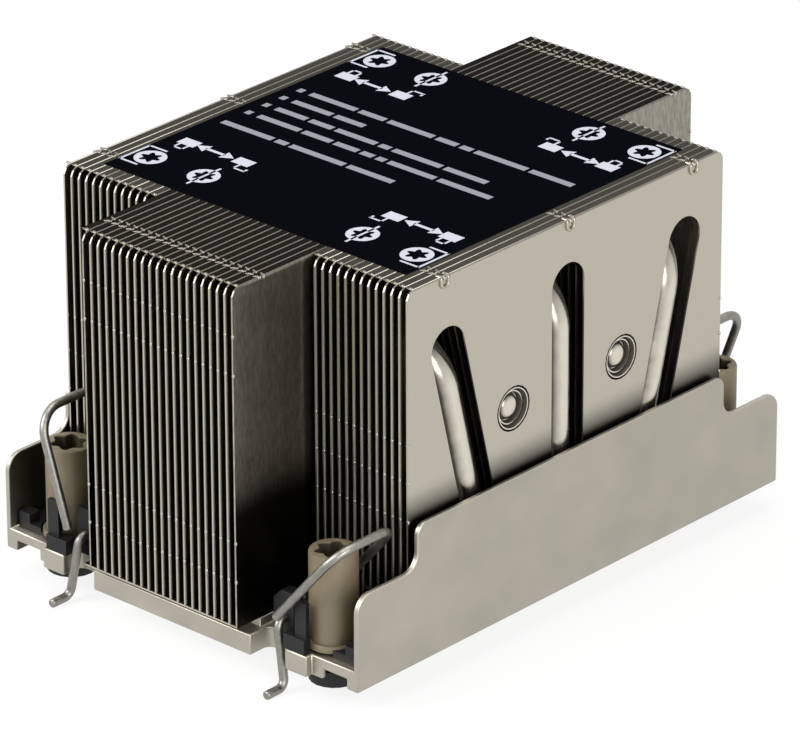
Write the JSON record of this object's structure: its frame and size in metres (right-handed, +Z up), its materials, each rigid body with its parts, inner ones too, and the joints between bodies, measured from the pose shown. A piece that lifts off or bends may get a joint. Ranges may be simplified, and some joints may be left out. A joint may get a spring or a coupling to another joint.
{
  "type": "passive processor heatsink",
  "caption": "Passive server processor heatsink: nickel-plated cast base with side flanges, heat pipes, folded fin stack, captive nuts and anti-tilt wires.",
  "frame": {"origin": "centre of the flat underside that rests on the processor", "axes": "+Z up from the processor through the fins, +Y along the air flow between the fins, +X across the fins"},
  "size_m": [0.078, 0.1124, 0.0689],
  "materials": {
    "nickel_base": "warm satin nickel plate",
    "copper_plate": "fine ground copper",
    "nickel_pipe": "bright nickel plate",
    "fin_sheet": "thin rolled sheet, nickel plated",
    "label_film": "smooth black film",
    "tan_nut": "moulded tan",
    "black_ring": "moulded black",
    "steel_wire": "drawn spring wire",
    "dark_holder": "moulded dark grey"
  },
  "bodies": {
    "heatsink": {"base_casting": "nickel_base", "contact_plate": "copper_plate", "fin_group_left_inner": "fin_sheet", "fin_group_left_middle": "fin_sheet", "fin_group_right_inner": "fin_sheet", "fin_group_right_middle": "fin_sheet", "fin_left_09": "fin_sheet", "fin_left_10": "fin_sheet", "fin_left_11": "fin_sheet", "fin_left_12": "fin_sheet", "fin_left_13": "fin_sheet", "fin_middle_01": "fin_sheet", "fin_middle_02": "fin_sheet", "fin_middle_03": "fin_sheet", "fin_middle_04": "fin_sheet", "fin_middle_05": "fin_sheet", "fin_middle_06": "fin_sheet", "fin_middle_07": "fin_sheet", "fin_middle_08": "fin_sheet", "fin_middle_09": "fin_sheet", "fin_middle_10": "fin_sheet", "fin_middle_11": "fin_sheet", "fin_middle_12": "fin_sheet", "fin_middle_13": "fin_sheet", "fin_middle_14": "fin_sheet", "fin_middle_15": "fin_sheet", "fin_middle_16": "fin_sheet", "fin_middle_17": "fin_sheet", "fin_middle_18": "fin_sheet", "fin_middle_19": "fin_sheet", "fin_middle_20": "fin_sheet", "fin_middle_21": "fin_sheet", "fin_right_09": "fin_sheet", "fin_right_10": "fin_sheet", "fin_right_11": "fin_sheet", "fin_right_12": "fin_sheet", "fin_right_13": "fin_sheet", "heat_pipe_1": "nickel_pipe", "heat_pipe_2": "nickel_pipe", "heat_pipe_3": "nickel_pipe", "heat_pipe_4": "nickel_pipe", "heat_pipe_5": "nickel_pipe", "label": "label_film", "wire_holder_back_left": "dark_holder", "wire_holder_back_right": "dark_holder", "wire_holder_front_left": "dark_holder", "wire_holder_front_right": "dark_holder"},
    "nut_front_right_body": {"nut_front_right": "tan_nut", "nut_ring_front_right": "black_ring"},
    "nut_front_left_body": {"nut_front_left": "tan_nut", "nut_ring_front_left": "black_ring"},
    "nut_back_right_body": {"nut_back_right": "tan_nut", "nut_ring_back_right": "black_ring"},
    "nut_back_left_body": {"nut_back_left": "tan_nut", "nut_ring_back_left": "black_ring"},
    "wire_front_right_body": {"wire_front_right": "steel_wire"},
    "wire_front_left_body": {"wire_front_left": "steel_wire"},
    "wire_back_right_body": {"wire_back_right": "steel_wire"},
    "wire_back_left_body": {"wire_back_left": "steel_wire"}
  },
  "joints": [
    {"name": "nut_front_right_turn", "type": "hinge", "parent": "heatsink", "child": "nut_front_right_body", "pos_m": [0.0292, -0.0464, 0], "axis": [0, 0, 1], "continuous": true},
    {"name": "nut_front_left_turn", "type": "hinge", "parent": "heatsink", "child": "nut_front_left_body", "pos_m": [-0.0292, -0.0464, 0], "axis": [0, 0, 1], "continuous": true},
    {"name": "nut_back_right_turn", "type": "hinge", "parent": "heatsink", "child": "nut_back_right_body", "pos_m": [0.0292, 0.0464, 0], "axis": [0, 0, 1], "continuous": true},
    {"name": "nut_back_left_turn", "type": "hinge", "parent": "heatsink", "child": "nut_back_left_body", "pos_m": [-0.0292, 0.0464, 0], "axis": [0, 0, 1], "continuous": true},
    {"name": "wire_front_right_swing", "type": "hinge", "parent": "heatsink", "child": "wire_front_right_body", "pos_m": [0.022, -0.0464, 0.0073], "axis": [0, 1, 0], "range_deg": [-5, 6.5]},
    {"name": "wire_front_left_swing", "type": "hinge", "parent": "heatsink", "child": "wire_front_left_body", "pos_m": [-0.022, -0.0464, 0.0073], "axis": [0, -1, 0], "range_deg": [0, 29]},
    {"name": "wire_back_right_swing", "type": "hinge", "parent": "heatsink", "child": "wire_back_right_body", "pos_m": [0.022, 0.0464, 0.0073], "axis": [0, 1, 0], "range_deg": [0, 27]},
    {"name": "wire_back_left_swing", "type": "hinge", "parent": "heatsink", "child": "wire_back_left_body", "pos_m": [-0.022, 0.0464, 0.0073], "axis": [0, -1, 0], "range_deg": [0, 25]}
  ]
}
